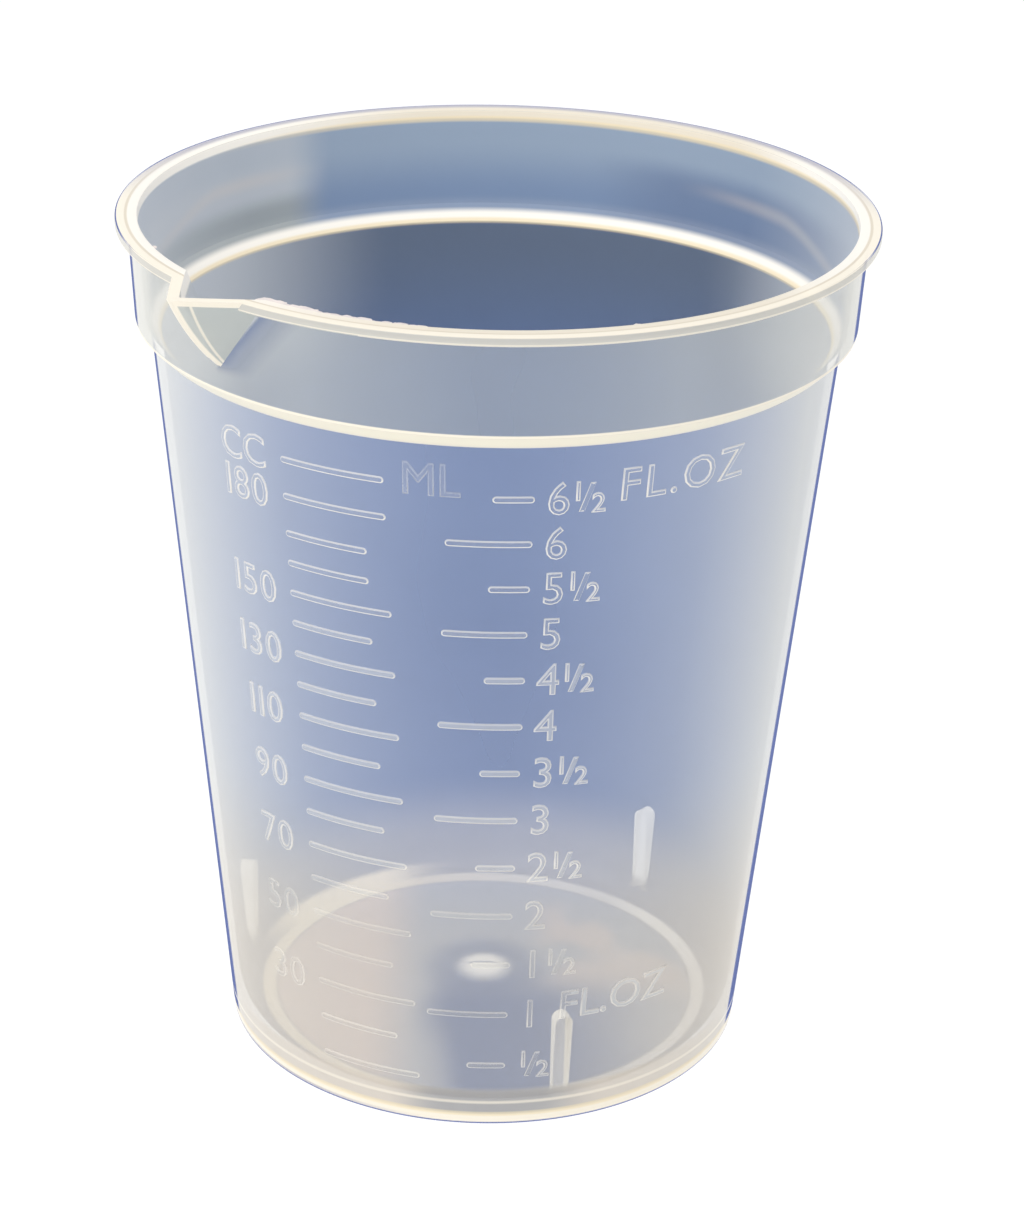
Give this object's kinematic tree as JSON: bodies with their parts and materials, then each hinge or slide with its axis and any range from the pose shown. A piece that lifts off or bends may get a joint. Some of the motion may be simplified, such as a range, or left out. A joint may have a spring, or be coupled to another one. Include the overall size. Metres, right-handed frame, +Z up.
{
  "type": "graduated mixing cup",
  "caption": "Tapered translucent plastic mixing cup with a stepped collar, rim bead, folded pour spout, stacking ribs and raised millilitre and fluid ounce scales.",
  "frame": {"origin": "centre of the ring that the cup stands on", "axes": "+Z up along the cup's axis, -Y towards the scales, spout halfway between -X and -Y"},
  "size_m": [0.075, 0.075, 0.0882],
  "materials": {
    "natural_plastic": "satin translucent natural plastic",
    "raised_scale": "same plastic as the wall, polished where it stands proud"
  },
  "bodies": {
    "root": {"cup_wall": "natural_plastic", "cup_floor": "natural_plastic", "gate_mark": "natural_plastic", "stacking_ribs": "natural_plastic", "shoulder": "natural_plastic", "collar": "natural_plastic", "rim_bead": "natural_plastic", "pour_spout": "natural_plastic", "cc_lines": "raised_scale", "ounce_lines": "raised_scale"}
  },
  "joints": []
}
